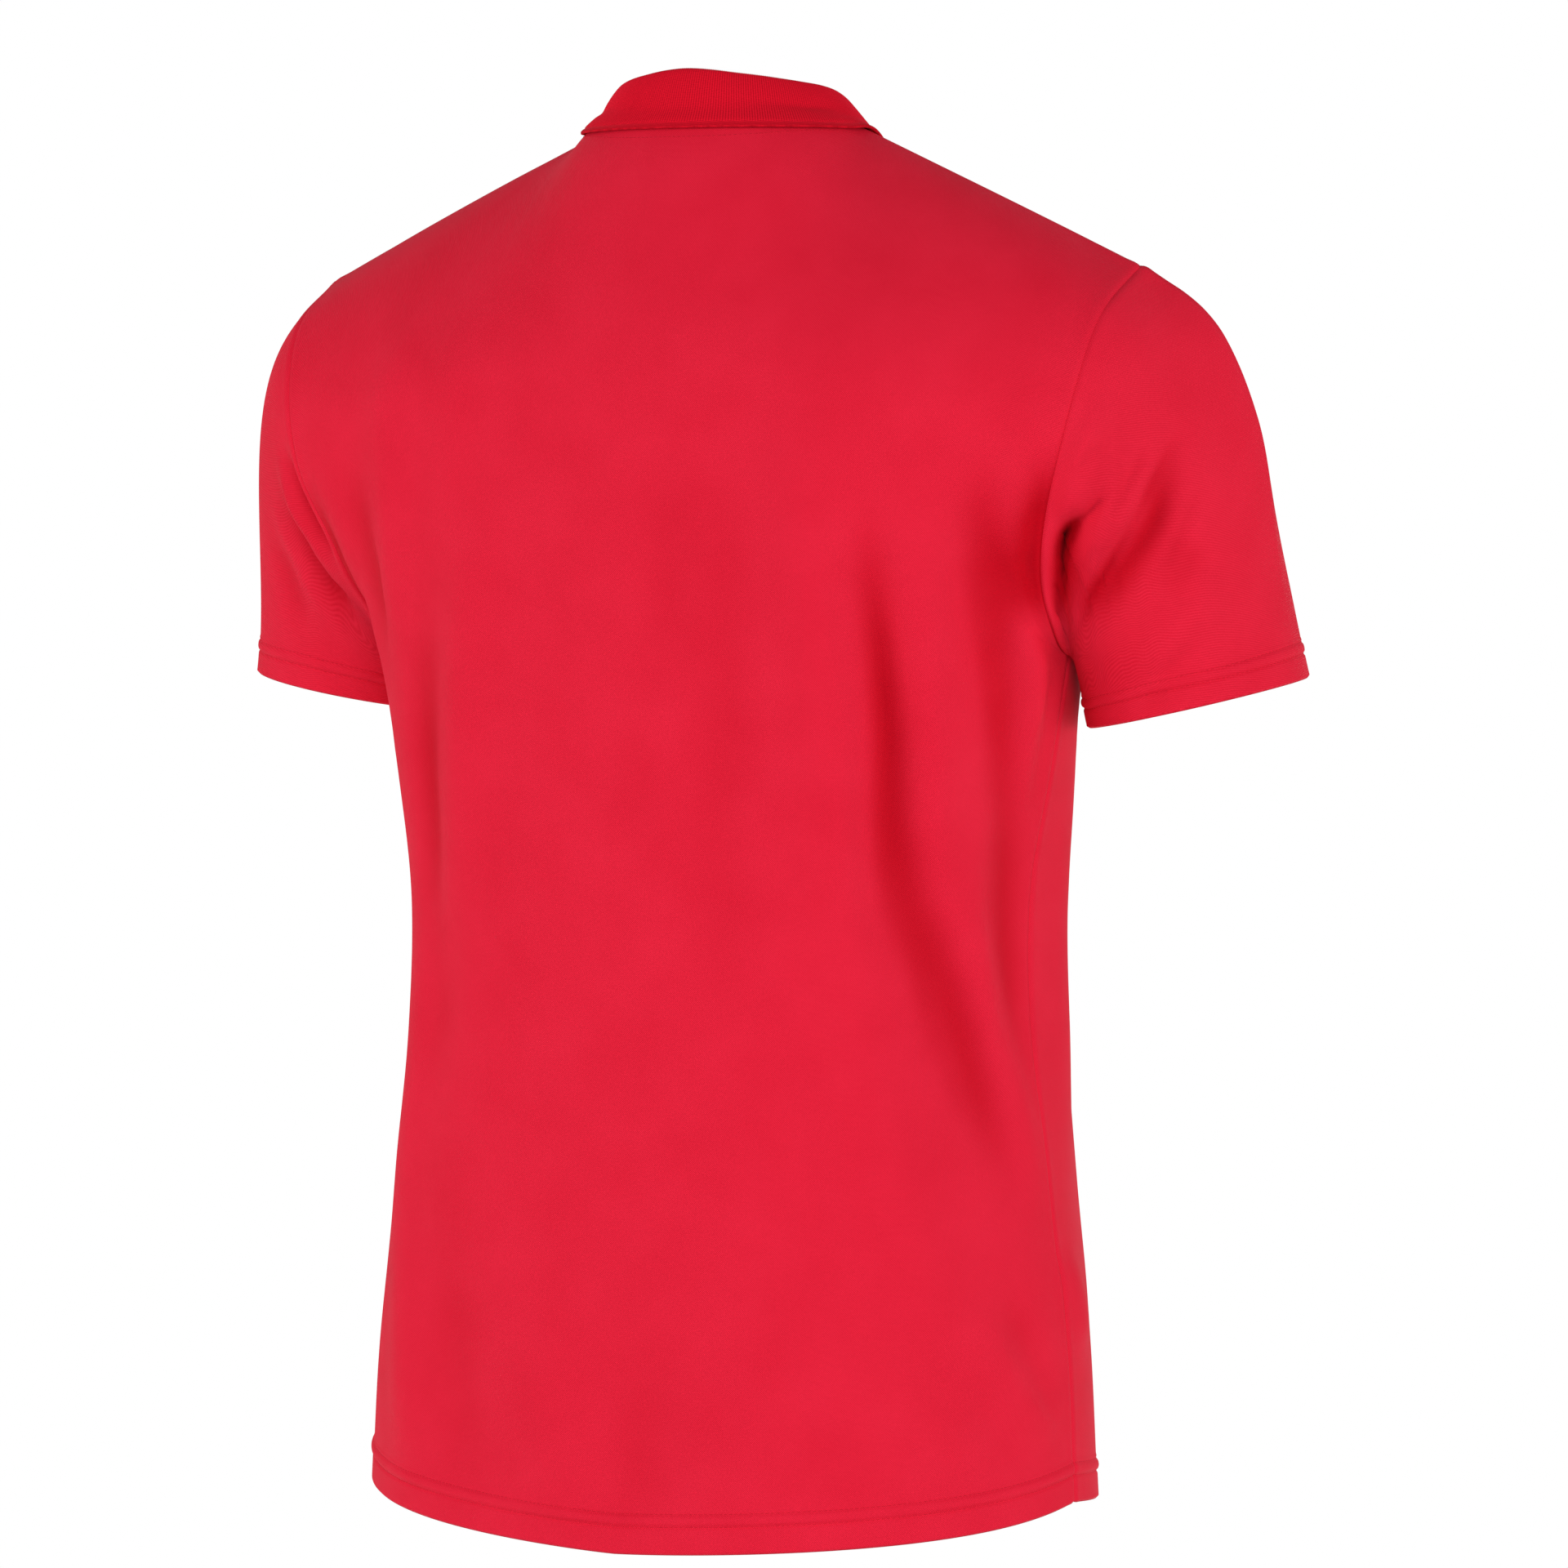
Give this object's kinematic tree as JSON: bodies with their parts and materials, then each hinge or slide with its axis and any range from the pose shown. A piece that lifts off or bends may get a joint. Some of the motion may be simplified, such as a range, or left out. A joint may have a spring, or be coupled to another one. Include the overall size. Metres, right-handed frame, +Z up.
{
  "type": "polo shirt",
  "caption": "Short-sleeved knitted polo shirt in its hollow worn form, with a folded rib collar, a buttoned front placket, turned hems and soft drape folds.",
  "frame": {"origin": "midpoint between the two points where the shoulder seams meet the neckline, where the shirt hangs on its wearer's shoulders", "axes": "+Z up along the wearer's body, +X to the wearer's left, -Y out of the wearer's chest"},
  "size_m": [0.6042, 0.2715, 0.76],
  "materials": {
    "red_jersey": "fine pique knit with a soft sheen",
    "red_rib": "flat 1x1 rib knit, a little darker",
    "red_button": "dyed to match, satin"
  },
  "bodies": {
    "root": {"back": "red_jersey", "front": "red_jersey", "sleeve_left": "red_jersey", "sleeve_right": "red_jersey", "collar": "red_rib", "placket_top": "red_jersey", "placket_under": "red_jersey", "button_1": "red_button", "button_2": "red_button", "button_3": "red_button"}
  },
  "joints": []
}
